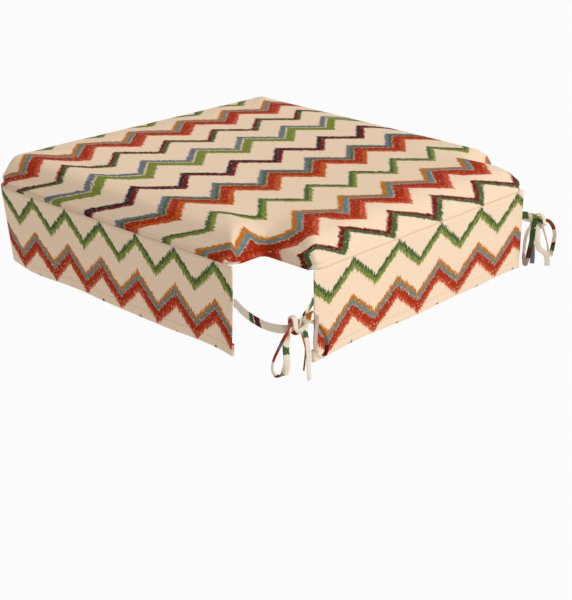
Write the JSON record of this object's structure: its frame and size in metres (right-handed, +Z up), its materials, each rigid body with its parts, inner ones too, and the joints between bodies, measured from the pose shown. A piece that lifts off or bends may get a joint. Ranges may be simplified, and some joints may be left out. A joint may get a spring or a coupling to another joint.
{
  "type": "chair seat pad",
  "caption": "Crowned foam seat pad with a hanging skirt, a hinged rear flap between two post notches and tape ties tied in bows.",
  "frame": {"origin": "middle of the pad's flat underside, at the height of the seam, where it rests on the chair's seat", "axes": "+X to the sitter's left, -Y to the front edge, +Y to the rear flap and the post notches, +Z up out of the crowned top; the skirt hangs to -Z"},
  "size_m": [0.4076, 0.4086, 0.1152],
  "materials": {
    "foam": "open-cell foam, matt",
    "zigzag_cloth": "woven cotton with a printed zigzag, matt",
    "lining": "plain calico, matt",
    "tape": "folded woven cotton, matt"
  },
  "bodies": {
    "pad": {"foam_core": "foam", "top_panel": "zigzag_cloth", "lining_panel": "lining", "skirt_strip": "zigzag_cloth", "tie_left_side": "tape", "tie_left_rear": "tape", "tie_right_side": "tape", "tie_right_rear": "tape"},
    "rear_flap": {"rear_flap": "zigzag_cloth"}
  },
  "joints": [
    {"name": "flap_swing", "type": "hinge", "parent": "pad", "child": "rear_flap", "pos_m": [0, 0.1934, -0.0002], "axis": [1, 0, 0], "range_deg": [0, 20]}
  ]
}
